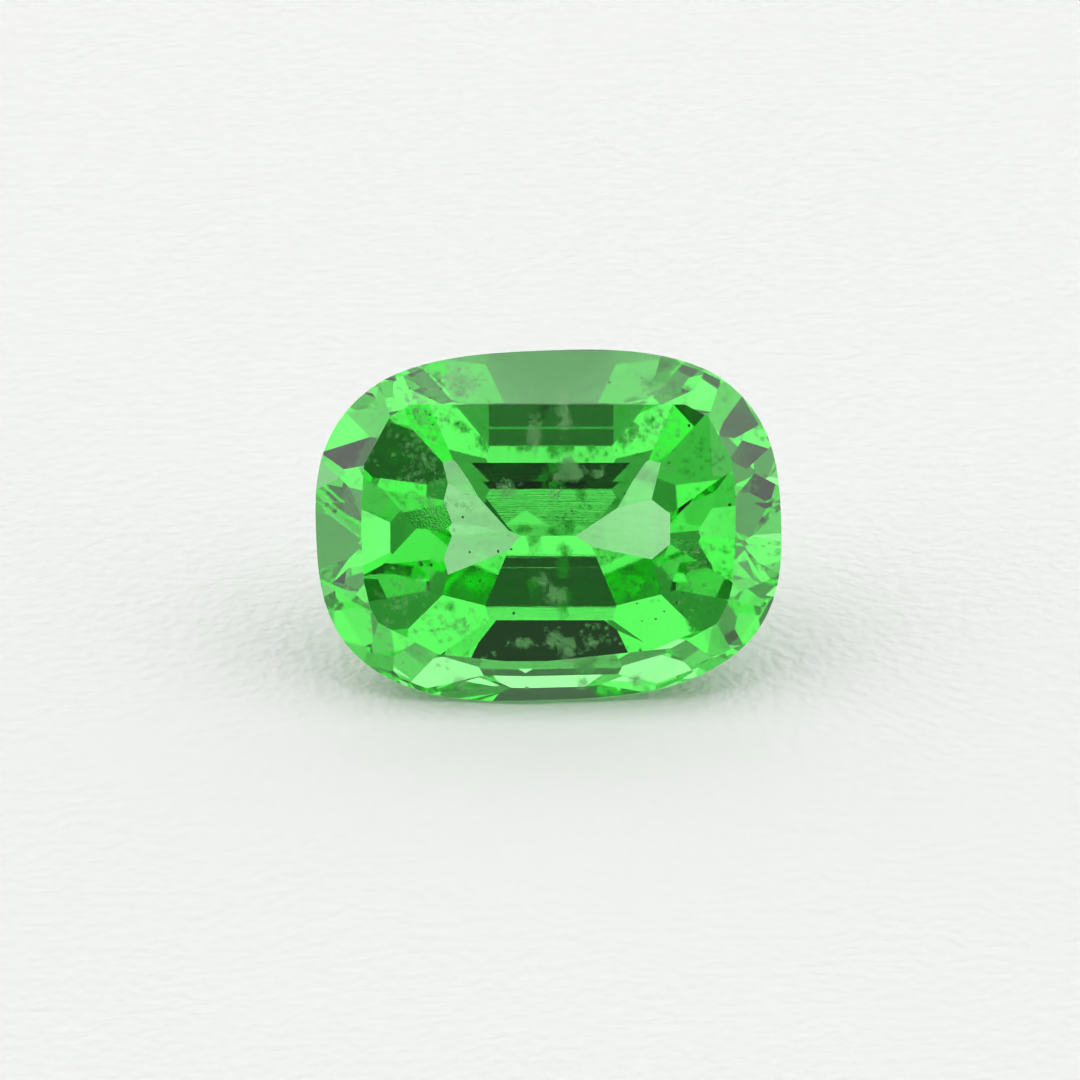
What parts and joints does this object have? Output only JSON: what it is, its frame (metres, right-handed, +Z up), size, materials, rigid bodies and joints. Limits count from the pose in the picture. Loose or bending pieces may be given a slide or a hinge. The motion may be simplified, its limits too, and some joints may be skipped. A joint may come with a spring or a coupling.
{
  "type": "cushion cut tsavorite garnet",
  "caption": "Faceted green tsavorite garnet, elongated cushion outline with brilliant crown and stepped pavilion, lying loose on a lower facet.",
  "frame": {"origin": "centre of the bounding box's base, on the surface that the stone lies on", "axes": "+X along the keel and the long axis, -Y the side that the table leans towards, +Z up"},
  "size_m": [0.0086, 0.005, 0.0053],
  "materials": {
    "tsavorite": "polished"
  },
  "bodies": {
    "root": {"stone": "tsavorite"}
  },
  "joints": []
}
